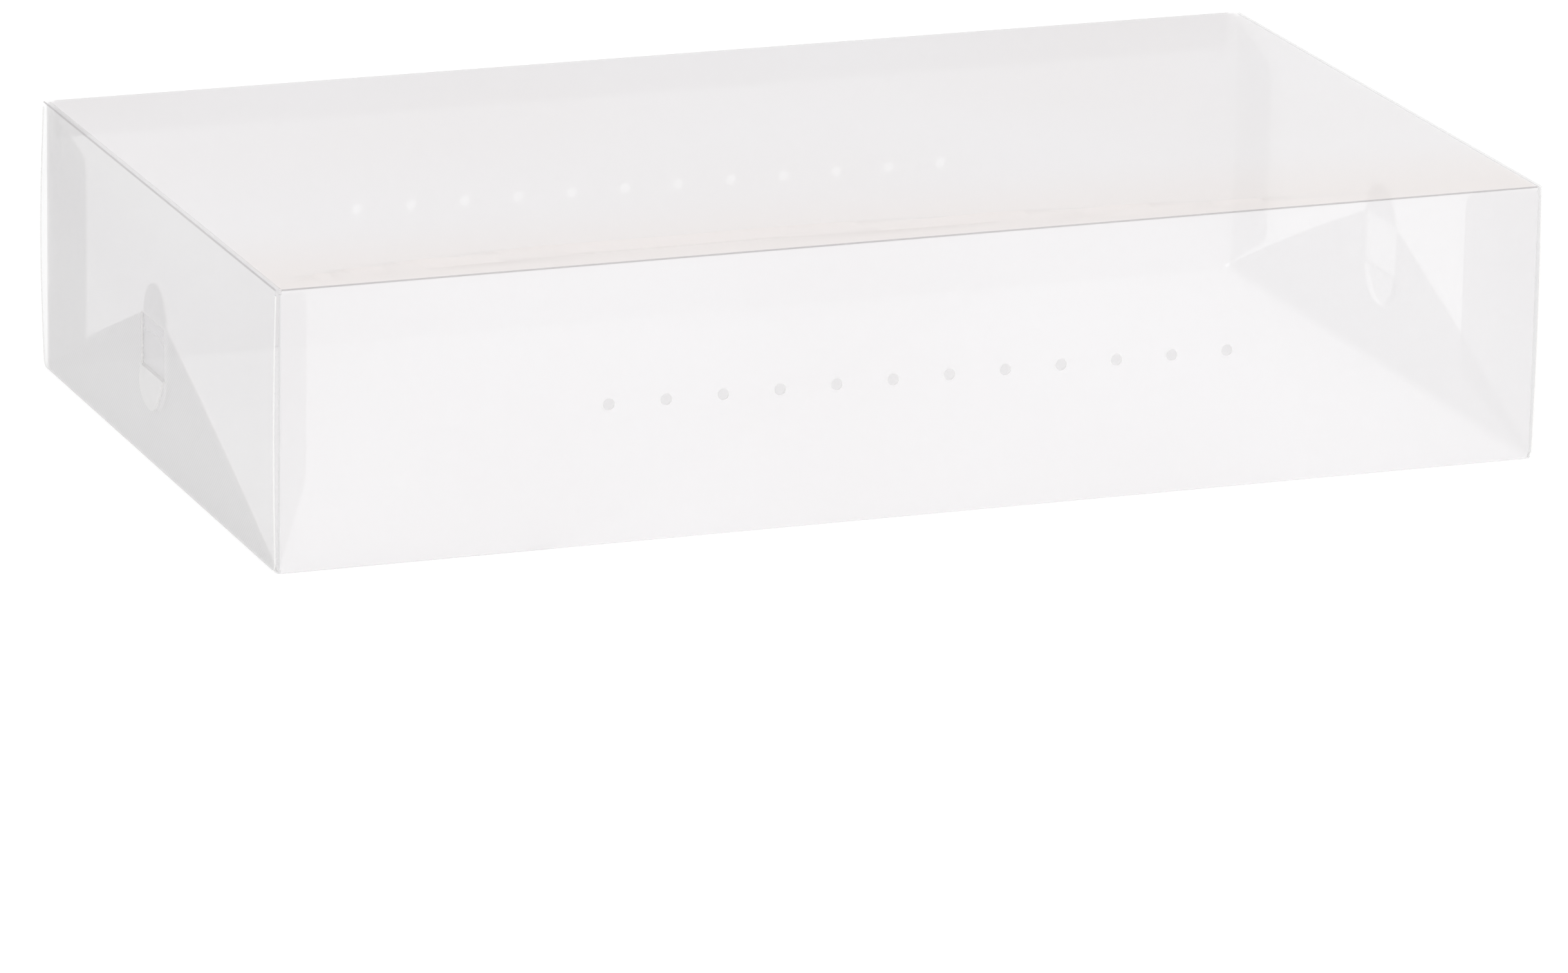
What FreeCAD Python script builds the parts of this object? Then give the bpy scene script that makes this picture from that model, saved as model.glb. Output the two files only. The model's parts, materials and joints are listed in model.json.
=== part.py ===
"""A fold-flat box for shoes or boots, made from one die-cut polypropylene sheet.

Row frame: X along the length, Y from front to back, Z up.
The origin is the middle of the base, and all sizes are in millimetres.
Four panels fold into a tube, a glue flap closes it, and each end shuts with two dust flaps,
a tapered lock flap and a full cover flap. A tab cut from the lock flap comes out through
the cover flap's window and hooks over its lower edge.
"""
import FreeCAD, Part
import math
import os

import Sketcher

Vector = FreeCAD.Vector

# name, value, what it is
DIMENSIONS = [
    ("length", 520.0, "over the two cover flaps"),
    ("width", 302.0, "front face to back face"),
    ("height", 111.0, "base to top face"),
    ("sheet", 0.6, "thickness of the sheet"),
    ("bend", 0.9, "outer radius of the tube's and the dust flaps' creases"),
    ("layer_gap", 0.2, "air between two closed flaps"),
    ("vent_count", 12.0, "vents in one side"),
    ("vent_pitch", 23.15, "vent to vent"),
    ("vent_dia", 4.6, "vent diameter"),
    ("window_sill", 38.0, "base to the window's lower edge"),
    ("window_height", 21.5, "window, sill to head"),
    ("neck_width", 29.0, "lock flap's neck, and the window"),
    ("window_slack", 0.4, "window beyond the neck, each side"),
    ("tab_slack", 0.3, "tab inside its slit, all round"),
    ("tab_lift", 0.1, "tab's root above the sill"),
    ("dust_width", 45.0, "dust flap, crease to free edge"),
    ("dust_head_cut", 13.0, "taper under the top panel"),
    ("dust_base_cut", 24.0, "taper over the base"),
    ("dust_inset", 2.0, "dust flap's root inside the panel's ends"),
    ("dust_round", 8.0, "dust flap's free corners"),
    ("cover_foot", 1.0, "base to the cover flap's free edge"),
    ("cover_round", 3.0, "cover flap's free corners"),
    ("glue_width", 15.5, "glue flap, crease to free edge"),
    ("glue_margin", 2.5, "glue flap short of the panel, each end"),
    ("glue_round", 3.0, "glue flap's free corners"),
]

QUARTER_TURN = 90.0
RIGHT = Vector(1, 0, 0)
REAR = Vector(0, 1, 0)
UP = Vector(0, 0, 1)


class Size:
    """A size worked out from the sheet: its value, and the expression that drives it."""

    def __init__(self, value, text):
        self.value = value
        self.text = text

    def __add__(self, other):
        other = as_size(other)
        return Size(self.value + other.value, f"({self.text} + {other.text})")

    def __sub__(self, other):
        other = as_size(other)
        return Size(self.value - other.value, f"({self.text} - {other.text})")

    def __mul__(self, other):
        other = as_size(other)
        return Size(self.value * other.value, f"({self.text} * {other.text})")

    def __truediv__(self, other):
        other = as_size(other)
        return Size(self.value / other.value, f"({self.text} / {other.text})")

    def __neg__(self):
        return Size(-self.value, f"(-{self.text})")


def as_size(number):
    """A plain number as a Size, and a Size as it is."""
    if isinstance(number, Size):
        return number
    return Size(float(number), str(float(number)))


def make_sheet(doc):
    """The spreadsheet of driving dimensions, and each of them as a Size by its name."""
    table = doc.addObject("Spreadsheet::Sheet", "params")
    sizes = {}
    for row, (name, value, note) in enumerate(DIMENSIONS, start=1):
        table.set(f"A{row}", note)
        table.set(f"B{row}", str(value))
        table.setAlias(f"B{row}", name)
        sizes[name] = Size(value, f"params.{name}")
    doc.recompute()
    return sizes


doc = FreeCAD.newDocument("folding_box")
dim = make_sheet(doc)
pieces = []

half_width = dim["width"] / 2
height = dim["height"]
sheet = dim["sheet"]
bend = dim["bend"]
head_bend = height - bend
side_bend = half_width - bend
sill = dim["window_sill"]
window_head = sill + dim["window_height"]
half_neck = dim["neck_width"] / 2

# The closed flaps lie in layers: cover flap outside, then lock flap, then dust flaps.
# All four panels end at the same place, and the outer layers have the wider creases.
layer = sheet + dim["layer_gap"]
cover_face = dim["length"] / 2
lock_face = cover_face - layer
dust_face = lock_face - layer
panel_end = dust_face - bend
cover_bend = cover_face - panel_end
lock_bend = lock_face - panel_end


def place(piece, position, x_dir, y_dir):
    """Bind a piece's position to the sheet, and turn its own X and Y to two directions."""
    turn = FreeCAD.Rotation(x_dir, y_dir, x_dir.cross(y_dir), "XYZ")
    piece.Placement = FreeCAD.Placement(Vector(), turn)
    for axis, size in zip("xyz", position):
        piece.setExpression(f"Placement.Base.{axis}", as_size(size).text)


def new_sketch(body, name, offset=None):
    """A sketch on the body's XY plane, or lifted off it by an offset."""
    sketch = body.newObject("Sketcher::SketchObject", f"{body.Name}_{name}")
    plane = [f for f in body.Origin.OriginFeatures if f.Role == "XY_Plane"][0]
    sketch.AttachmentSupport = [(plane, "")]
    sketch.MapMode = "FlatFace"
    if offset is not None:
        sketch.setExpression("AttachmentOffset.Base.z", offset.text)
    return sketch


def pin(sketch, kind, element, point, size):
    """Hold one coordinate of a point at a size that the sheet drives."""
    size = as_size(size)
    rule = Sketcher.Constraint(kind, -1, 1, element, point, size.value)
    sketch.setExpression(f"Constraints[{sketch.addConstraint(rule)}]", size.text)


def draw_outline(sketch, corners):
    """Draw a closed outline, anticlockwise. A corner with a third entry starts a half circle."""
    points = [Vector(as_size(c[0]).value, as_size(c[1]).value, 0) for c in corners]
    count = len(corners)
    for n, corner in enumerate(corners):
        start, end = points[n], points[(n + 1) % count]
        if len(corner) == 3:
            centre = (start + end) / 2
            ray = start - centre
            first = math.atan2(ray.y, ray.x)
            circle = Part.Circle(centre, UP, ray.Length)
            sketch.addGeometry(Part.ArcOfCircle(circle, first, first + math.pi), False)
        else:
            sketch.addGeometry(Part.LineSegment(start, end), False)
    for n, corner in enumerate(corners):
        sketch.addConstraint(Sketcher.Constraint("Coincident", n, 2, (n + 1) % count, 1))
        pin(sketch, "DistanceX", n, 1, corner[0])
        pin(sketch, "DistanceY", n, 1, corner[1])
        if len(corner) == 3:
            pin(sketch, "DistanceY", n, 3, corner[1])


def pad_outline(body, name, corners, thickness=sheet, offset=None):
    """Pad a closed outline by a thickness."""
    sketch = new_sketch(body, f"{name}_sketch", offset)
    draw_outline(sketch, corners)
    pad = body.newObject("PartDesign::Pad", f"{body.Name}_{name}")
    pad.Profile = sketch
    pad.setExpression("Length", thickness.text)
    doc.recompute()
    return pad


def cut_through(body, name, sketch):
    """Cut a sketch right through the sheet. The cut must take material away."""
    before = body.Shape.Volume
    pocket = body.newObject("PartDesign::Pocket", f"{body.Name}_{name}")
    pocket.Profile = sketch
    pocket.Type = "ThroughAll"
    pocket.Reversed = True
    doc.recompute()
    if body.Shape.Volume >= before:
        raise ValueError(f"{body.Label}: {name} cuts nothing")
    return pocket


def cut_outline(body, name, corners):
    """Cut a closed outline through the sheet."""
    sketch = new_sketch(body, f"{name}_sketch")
    draw_outline(sketch, corners)
    return cut_through(body, name, sketch)


def round_corners(body, name, corners, radius):
    """Round the upright edges that stand on the given corners of the body's outline."""
    base = body.Tip
    spots = [(as_size(x).value, as_size(y).value) for x, y in corners]
    chosen = []
    for n, edge in enumerate(base.Shape.Edges, start=1):
        ends = [(v.X, v.Y) for v in edge.Vertexes]
        for spot in spots:
            if all(math.dist(end, spot) < 1e-4 for end in ends):
                chosen.append(f"Edge{n}")
    if len(chosen) != len(spots):
        raise ValueError(f"{body.Label}: found {len(chosen)} of {len(spots)} corners")
    fillet = body.newObject("PartDesign::Fillet", f"{body.Name}_{name}")
    fillet.Base = (base, chosen)
    fillet.setExpression("Radius", radius.text)
    doc.recompute()


def new_body(label):
    """An empty body that becomes one of the box's pieces."""
    body = doc.addObject("PartDesign::Body", label)
    body.Label = label
    pieces.append(body)
    return body


def rectangle(left, bottom, right, top):
    """The four corners of a rectangle, anticlockwise."""
    return [(left, bottom), (right, bottom), (right, top), (left, top)]


def cut_vents(body):
    """A row of round vents, centred on the panel at half the box's height."""
    spread = dim["vent_pitch"] * (dim["vent_count"] - 1)
    sketch = new_sketch(body, "vent_sketch")
    first = Vector(-spread.value / 2, height.value / 2, 0)
    radius = dim["vent_dia"].value / 2
    circle = sketch.addGeometry(Part.Circle(first, UP, radius), False)
    pin(sketch, "DistanceX", circle, 3, -spread / 2)
    pin(sketch, "DistanceY", circle, 3, height / 2)
    rule = Sketcher.Constraint("Diameter", circle, dim["vent_dia"].value)
    sketch.setExpression(f"Constraints[{sketch.addConstraint(rule)}]", dim["vent_dia"].text)
    pocket = cut_through(body, "vent", sketch)
    row = body.newObject("PartDesign::LinearPattern", f"{body.Name}_vent_row")
    row.Originals = [pocket]
    row.Direction = (sketch, ["H_Axis"])
    row.setExpression("Length", spread.text)
    row.setExpression("Occurrences", dim["vent_count"].text)
    body.Tip = row
    doc.recompute()


def make_crease(label, position, axis_dir, faces, span, radius=bend):
    """The bent strip between two flat pieces at right angles: a quarter of a tube.

    It is span long from position along axis_dir. faces are the two pieces' outward normals.
    """
    first, second = faces
    start = first if axis_dir.cross(first).dot(second) > 0 else second
    outer = doc.addObject("Part::Cylinder", f"{label}_outside")
    inner = doc.addObject("Part::Cylinder", f"{label}_inside")
    for solid, size in ((outer, radius), (inner, radius - sheet)):
        solid.setExpression("Radius", size.text)
        solid.setExpression("Height", span.text)
        solid.Angle = QUARTER_TURN
    crease = doc.addObject("Part::Cut", label)
    crease.Label = label
    crease.Base = outer
    crease.Tool = inner
    place(crease, position, start, axis_dir.cross(start))
    pieces.append(crease)


def make_tube():
    """The four panels, the glue flap and the four long creases."""
    glue_side = side_bend - sheet

    bottom = new_body("bottom_panel")
    pad_outline(bottom, "panel", rectangle(-panel_end, -side_bend, panel_end, side_bend))
    place(bottom, (0, 0, 0), RIGHT, REAR)

    top = new_body("top_panel")
    pad_outline(top, "panel", rectangle(-panel_end, -side_bend, panel_end, glue_side))
    place(top, (0, 0, height - sheet), RIGHT, REAR)

    front = new_body("front_panel")
    pad_outline(front, "panel", rectangle(-panel_end, bend, panel_end, head_bend))
    cut_vents(front)
    place(front, (0, sheet - half_width, 0), RIGHT, UP)

    back = new_body("back_panel")
    pad_outline(back, "panel", rectangle(-panel_end, bend, panel_end, head_bend))
    cut_vents(back)
    place(back, (0, half_width - sheet, 0), -RIGHT, UP)

    glue = new_body("glue_flap")
    glue_end = panel_end - dim["glue_margin"]
    glue_edge = height - dim["glue_width"]
    pad_outline(glue, "flap", rectangle(-glue_end, glue_edge, glue_end, head_bend))
    corners = [(-glue_end, glue_edge), (glue_end, glue_edge)]
    round_corners(glue, "corners", corners, dim["glue_round"])
    place(glue, (0, half_width - sheet * 2, 0), -RIGHT, UP)

    span = panel_end * 2
    low_front = (-panel_end, -side_bend, bend)
    low_back = (-panel_end, side_bend, bend)
    high_front = (-panel_end, -side_bend, head_bend)
    high_back = (-glue_end, glue_side, head_bend)
    make_crease("crease_bottom_front", low_front, RIGHT, (-UP, -REAR), span)
    make_crease("crease_bottom_back", low_back, RIGHT, (-UP, REAR), span)
    make_crease("crease_top_front", high_front, RIGHT, (UP, -REAR), span)
    make_crease("crease_top_back", high_back, RIGHT, (UP, REAR), glue_end * 2)


def make_cover_flap(side, outward):
    """The full outer flap. It hangs from the top panel and has the lock's window."""
    flap = new_body(f"cover_flap_{side}")
    half = half_width - sheet
    foot = dim["cover_foot"]
    head = height - cover_bend
    pad_outline(flap, "flap", rectangle(-half, foot, half, head))
    half_window = half_neck + dim["window_slack"]
    cut_outline(flap, "window", rectangle(-half_window, sill, half_window, window_head))
    round_corners(flap, "corners", [(-half, foot), (half, foot)], dim["cover_round"])
    place(flap, ((cover_face - sheet) * outward, 0, 0), REAR * outward, UP)

    half_span = side_bend - sheet
    start = (panel_end * outward, -half_span, head)
    faces = (UP, RIGHT * outward)
    make_crease(f"crease_cover_{side}", start, REAR, faces, half_span * 2, cover_bend)


def make_lock_flap(side, outward):
    """The inner tapered flap. It stands on the base and ends in a neck and a round tongue."""
    flap = new_body(f"lock_flap_{side}")
    outline = [
        (-side_bend, lock_bend),
        (side_bend, lock_bend),
        (half_neck, window_head, "half circle"),
        (-half_neck, window_head),
    ]
    pad_outline(flap, "flap", outline)
    slit = sill + dim["tab_lift"]
    cut_outline(flap, "slit", [(-half_neck, slit, "half circle"), (half_neck, slit)])
    place(flap, ((lock_face - sheet) * outward, 0, 0), REAR * outward, UP)

    start = (panel_end * outward, -side_bend, lock_bend)
    faces = (-UP, RIGHT * outward)
    make_crease(f"crease_lock_{side}", start, REAR, faces, side_bend * 2, lock_bend)


def make_lock_tab(side, outward):
    """The round tab cut from the lock flap, brought out over the window's sill."""
    tab = new_body(f"lock_tab_{side}")
    radius = half_neck - dim["tab_slack"]
    root = sill + dim["tab_lift"]
    crown = root + sheet
    lap = sheet + dim["layer_gap"] * 2
    pad_outline(tab, "root", rectangle(-radius, root, radius, crown), lap + sheet)
    disc = [(-radius, crown, "half circle"), (radius, crown)]
    pad_outline(tab, "disc", disc, sheet, lap)
    place(tab, (lock_face * outward, 0, 0), REAR * outward, UP)


def make_dust_flap(name, outward, rear):
    """A small flap on the end of a side panel. rear is +1 on the back panel and -1 on the front."""
    flap = new_body(f"dust_flap_{name}")
    width = dim["dust_width"]
    inset = dim["dust_inset"]
    cuts = (dim["dust_base_cut"], dim["dust_head_cut"])

    # The flap's own Y runs up or down, whichever turns its own Z out of the box.
    upright = outward * rear < 0
    low_cut, high_cut = cuts if upright else reversed(cuts)
    free_low = (width, low_cut)
    free_high = (width, height - high_cut)
    outline = [(0, inset), free_low, free_high, (0, height - inset)]
    pad_outline(flap, "flap", outline)
    round_corners(flap, "corners", [free_low, free_high], dim["dust_round"])
    foot = ((dust_face - sheet) * outward, side_bend * rear, 0 if upright else height)
    place(flap, foot, REAR * -rear, UP if upright else -UP)

    start = (panel_end * outward, side_bend * rear, inset)
    faces = (REAR * rear, RIGHT * outward)
    make_crease(f"crease_dust_{name}", start, UP, faces, height - inset * 2)


def make_end(side, outward):
    """Everything that closes one end. outward is +1 at the right end and -1 at the left."""
    make_cover_flap(side, outward)
    make_lock_flap(side, outward)
    make_lock_tab(side, outward)
    make_dust_flap(f"front_{side}", outward, -1)
    make_dust_flap(f"back_{side}", outward, 1)


def check_document():
    """Stop if any object has failed, or if a piece isn't one valid solid."""
    for item in doc.Objects:
        if "Invalid" in item.State or "Error" in item.State:
            raise ValueError(f"{item.Label} failed: {item.State}")
    for piece in pieces:
        shape = piece.Shape
        if shape.isNull() or not shape.isValid() or len(shape.Solids) != 1:
            raise ValueError(f"{piece.Label} isn't one valid solid")


make_tube()
make_end("left", -1)
make_end("right", 1)
doc.recompute()
check_document()

os.makedirs("parts", exist_ok=True)
for piece in pieces:
    piece.Shape.exportStep(f"parts/{piece.Label}.step")
print(f"{len(pieces)} pieces written")
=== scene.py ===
"""A translucent folding shoe box: creased plastic sheet, tuck ends, punched vents, on a white studio floor.

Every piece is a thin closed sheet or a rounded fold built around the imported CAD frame, in metres.
"""

import json
import math

import bpy
import numpy as np
from mathutils import Euler, Vector
from mathutils.geometry import delaunay_2d_cdt
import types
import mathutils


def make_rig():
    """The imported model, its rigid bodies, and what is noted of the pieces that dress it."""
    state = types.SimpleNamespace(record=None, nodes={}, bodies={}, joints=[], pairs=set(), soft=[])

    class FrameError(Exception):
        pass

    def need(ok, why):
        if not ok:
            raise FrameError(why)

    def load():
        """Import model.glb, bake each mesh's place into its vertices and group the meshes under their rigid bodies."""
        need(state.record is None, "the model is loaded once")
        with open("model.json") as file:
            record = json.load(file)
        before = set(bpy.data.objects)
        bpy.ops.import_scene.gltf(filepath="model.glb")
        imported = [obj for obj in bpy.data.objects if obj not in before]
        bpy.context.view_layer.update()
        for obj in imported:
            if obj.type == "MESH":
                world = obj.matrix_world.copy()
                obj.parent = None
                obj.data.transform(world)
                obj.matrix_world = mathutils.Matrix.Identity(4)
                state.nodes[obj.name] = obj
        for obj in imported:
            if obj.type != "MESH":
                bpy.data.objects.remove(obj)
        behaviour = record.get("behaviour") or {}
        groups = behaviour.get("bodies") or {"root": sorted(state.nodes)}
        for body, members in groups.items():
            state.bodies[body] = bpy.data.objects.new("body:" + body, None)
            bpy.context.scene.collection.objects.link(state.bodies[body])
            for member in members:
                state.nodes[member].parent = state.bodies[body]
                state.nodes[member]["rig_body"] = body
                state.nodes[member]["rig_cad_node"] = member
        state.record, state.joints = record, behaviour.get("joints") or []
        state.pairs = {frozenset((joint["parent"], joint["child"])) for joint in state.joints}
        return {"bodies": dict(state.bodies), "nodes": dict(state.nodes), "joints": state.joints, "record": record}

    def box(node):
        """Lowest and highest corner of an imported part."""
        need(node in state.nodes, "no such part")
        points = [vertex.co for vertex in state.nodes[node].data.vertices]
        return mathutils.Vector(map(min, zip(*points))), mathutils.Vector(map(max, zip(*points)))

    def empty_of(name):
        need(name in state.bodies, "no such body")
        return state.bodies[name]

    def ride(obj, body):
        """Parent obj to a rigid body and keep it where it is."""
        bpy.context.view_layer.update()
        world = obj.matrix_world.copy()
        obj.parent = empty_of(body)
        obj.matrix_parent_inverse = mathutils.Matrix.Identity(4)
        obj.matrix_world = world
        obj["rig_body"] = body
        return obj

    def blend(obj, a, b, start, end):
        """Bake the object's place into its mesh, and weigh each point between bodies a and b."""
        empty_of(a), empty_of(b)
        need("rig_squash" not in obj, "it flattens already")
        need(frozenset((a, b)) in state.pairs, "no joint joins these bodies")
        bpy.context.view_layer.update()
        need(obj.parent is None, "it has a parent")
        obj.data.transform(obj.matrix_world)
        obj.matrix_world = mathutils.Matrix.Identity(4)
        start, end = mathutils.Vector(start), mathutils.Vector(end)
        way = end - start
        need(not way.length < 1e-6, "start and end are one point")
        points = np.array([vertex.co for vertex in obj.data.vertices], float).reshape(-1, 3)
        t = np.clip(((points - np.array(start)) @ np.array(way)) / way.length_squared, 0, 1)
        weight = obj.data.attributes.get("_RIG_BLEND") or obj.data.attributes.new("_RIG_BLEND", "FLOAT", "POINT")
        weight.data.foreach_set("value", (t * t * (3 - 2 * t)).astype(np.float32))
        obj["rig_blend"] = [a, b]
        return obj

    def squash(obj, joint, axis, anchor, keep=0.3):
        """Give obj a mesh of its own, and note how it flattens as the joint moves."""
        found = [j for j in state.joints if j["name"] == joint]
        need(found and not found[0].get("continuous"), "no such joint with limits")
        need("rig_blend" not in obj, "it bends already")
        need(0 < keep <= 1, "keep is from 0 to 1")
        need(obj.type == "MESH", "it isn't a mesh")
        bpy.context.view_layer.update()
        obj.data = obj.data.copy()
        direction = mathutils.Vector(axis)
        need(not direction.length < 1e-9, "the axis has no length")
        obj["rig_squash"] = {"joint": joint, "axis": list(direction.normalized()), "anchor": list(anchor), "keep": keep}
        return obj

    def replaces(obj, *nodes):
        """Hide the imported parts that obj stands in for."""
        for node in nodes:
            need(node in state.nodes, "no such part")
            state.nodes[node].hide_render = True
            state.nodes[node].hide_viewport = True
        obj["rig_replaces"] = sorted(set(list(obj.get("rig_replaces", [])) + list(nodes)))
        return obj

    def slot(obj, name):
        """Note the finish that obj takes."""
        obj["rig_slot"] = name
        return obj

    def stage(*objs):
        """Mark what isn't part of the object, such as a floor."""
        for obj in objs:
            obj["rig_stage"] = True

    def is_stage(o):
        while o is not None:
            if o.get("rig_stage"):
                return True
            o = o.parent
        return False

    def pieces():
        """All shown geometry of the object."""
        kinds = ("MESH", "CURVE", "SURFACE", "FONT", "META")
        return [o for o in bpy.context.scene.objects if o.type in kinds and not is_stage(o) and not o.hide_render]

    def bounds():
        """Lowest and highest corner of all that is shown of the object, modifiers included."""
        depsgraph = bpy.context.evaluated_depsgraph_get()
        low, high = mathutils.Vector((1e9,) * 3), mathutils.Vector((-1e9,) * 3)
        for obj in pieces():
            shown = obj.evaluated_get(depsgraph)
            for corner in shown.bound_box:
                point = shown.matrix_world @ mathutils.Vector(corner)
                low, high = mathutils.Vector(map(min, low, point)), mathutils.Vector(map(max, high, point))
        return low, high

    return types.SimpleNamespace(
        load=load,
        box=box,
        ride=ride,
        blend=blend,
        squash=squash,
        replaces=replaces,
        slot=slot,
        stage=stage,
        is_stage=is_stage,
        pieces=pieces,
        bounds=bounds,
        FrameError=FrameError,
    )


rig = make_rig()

SIZE_FILE = "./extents.json"
MM = 0.001

# Sheet work
MESH_STEP = 6 * MM  # spacing of the points inside a panel
FLAP_STEP = 4 * MM
CORNER_POINTS = 6  # points along a rounded corner
SHARP_ANGLE = math.radians(35)

# Shape of the real sheet, which is never quite flat
END_BOW = 0.7 * MM  # the end flaps belly outwards
END_BOW_BACK = 1.3 * MM  # more so at their back edge
PANEL_WAVE = 0.35 * MM
RIPPLE_HEIGHT = 2.3 * MM  # the shallow ridge along the top's front edge
RIPPLE_WIDTH = 3.2 * MM
RIPPLE_REACH = 23 * MM  # how far it wanders from the edge
RIM_HEIGHT = 0.12 * MM  # burr round each punched vent
RIM_WIDTH = 0.45 * MM
LOCK_SWELL = 1.5 * MM  # how far the lock flap's slanting edges curve up
TAB_DISH = 2.0 * MM  # the lock tab curls away from the end
LEAN_FRONT_LEFT = math.radians(30)  # dust flaps that have sprung into the box
LEAN_FRONT_RIGHT = math.radians(12)
LEAN_BACK = math.radians(3)
SQUASH_KEEP = 0.02  # how much of its depth a flattened piece keeps
CREASE_RADIUS = 0.6 * MM
LOCK_CREASE_RADIUS = 0.7 * MM
TAB_BEND_RADIUS = 0.55 * MM
FLAP_ROUNDING = 3 * MM

# Vents
VENT_COUNT = 12
VENT_PITCH = 23.15 * MM
VENT_RADIUS = 2.3 * MM
VENT_RINGS = (0.3 * MM, 0.7 * MM, 1.4 * MM)  # rings of mesh points round each vent

# Emboss, drawn in the colour as painted shade and highlight
HATCH_ACROSS = (0, 0.68, 0.73)  # across the emboss lines, which rise towards the front
HATCH_PITCH = 1.35 * MM

# Material slots of every sheet and fold
FACE, CUT_RIM, JOINED_RIM, FOLD_LINE = range(4)

# The lock flap and the window it shows through
HEAD_RADIUS = 14.5 * MM
HEAD_HEIGHT = 59.5 * MM  # its middle, and the window's upper edge
SLIT_HEIGHT = 38.0 * MM  # the window's sill, where the tab comes out
WINDOW_HALF = 14.9 * MM
LOCK_SLOPE = 0.436  # fall of the slanting edges

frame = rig.load()
cad_low, cad_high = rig.bounds()


# Camera

def make_camera():
    """A long lens from the front left, at the height that shows the top and the left end."""
    data = bpy.data.cameras.new("camera")
    data.lens = 230
    data.sensor_width = 36
    data.clip_end = 50
    camera = bpy.data.objects.new("camera", data)
    camera.location = (-1.374, -3.582, 1.097)
    heading, pitch, roll = (math.radians(a) for a in (21.02, 16.38, 0.98))
    look = Euler((math.pi / 2 - pitch, 0, -heading)).to_matrix() @ Euler((0, 0, roll)).to_matrix()
    camera.rotation_euler = look.to_euler()
    bpy.context.scene.collection.objects.link(camera)
    bpy.context.scene.camera = camera


# Materials

def node(tree, kind, inputs=None, **settings):
    """A shader node with its settings and inputs; an input is a socket to link or a plain value."""
    made = tree.nodes.new(kind)
    for name, value in settings.items():
        setattr(made, name, value)
    for name, value in (inputs or {}).items():
        if isinstance(value, bpy.types.NodeSocket):
            tree.links.new(value, made.inputs[name])
        else:
            made.inputs[name].default_value = value
    return made


def lines(tree, coordinates, direction, pitch):
    """A smooth 0 to 1 wave whose lines lie across direction, pitch metres apart."""
    across = Vector(direction).normalized() * (2 * math.pi / pitch)
    phase = node(tree, "ShaderNodeVectorMath", {0: coordinates, 1: across}, operation="DOT_PRODUCT")
    wave = node(tree, "ShaderNodeMath", {0: phase.outputs["Value"]}, operation="SINE")
    return node(
        tree,
        "ShaderNodeMapRange",
        {"Value": wave.outputs[0], "From Min": -1.0, "From Max": 1.0},
        interpolation_type="SMOOTHSTEP",
    ).outputs["Result"]


def between(tree, value, low, high, soft=0.2 * MM):
    """1 where value lies between low and high, with a soft border, else 0."""
    rise = node(tree, "ShaderNodeMapRange", {"Value": value, "From Min": low - soft, "From Max": low})
    fall = node(tree, "ShaderNodeMapRange", {"Value": value, "From Min": high + soft, "From Max": high})
    return node(
        tree, "ShaderNodeMath", {0: rise.outputs["Result"], 1: fall.outputs["Result"]}, operation="MULTIPLY"
    ).outputs[0]


def hatch_shade(tree, where, share):
    """A factor near 1: painted shade and highlight along the emboss lines, laid where the cover lies over
    the lock flap, so there are none in the window or above the flap's slanting edges."""
    ridges = lines(tree, where, HATCH_ACROSS, HATCH_PITCH)
    axes = node(tree, "ShaderNodeSeparateXYZ", {"Vector": where}).outputs
    from_middle = node(tree, "ShaderNodeMath", {0: axes["Y"]}, operation="ABSOLUTE").outputs[0]
    leaning = node(
        tree, "ShaderNodeMath", {0: from_middle, 1: LOCK_SLOPE, 2: axes["Z"]}, operation="MULTIPLY_ADD"
    ).outputs[0]
    # where the painted emboss shade is laid: the cover over the lock flap
    over_lock_flap = between(tree, leaning, -1.0, HEAD_HEIGHT + LOCK_SLOPE * HEAD_RADIUS)
    window = node(
        tree,
        "ShaderNodeMath",
        {
            0: between(tree, axes["Y"], -WINDOW_HALF, WINDOW_HALF),
            1: between(tree, axes["Z"], SLIT_HEIGHT, 1.0),
        },
        operation="MULTIPLY",
    ).outputs[0]
    strength = node(tree, "ShaderNodeMapRange", {"Value": window, "To Min": share, "To Max": 0.0}).outputs[0]
    strength = node(tree, "ShaderNodeMath", {0: strength, 1: over_lock_flap}, operation="MULTIPLY").outputs[0]
    centred = node(tree, "ShaderNodeMapRange", {"Value": ridges, "To Min": -1.35, "To Max": 0.65}).outputs[0]
    return node(
        tree, "ShaderNodeMath", {0: centred, 1: strength, 2: 1.0}, operation="MULTIPLY_ADD"
    ).outputs[0]


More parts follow.
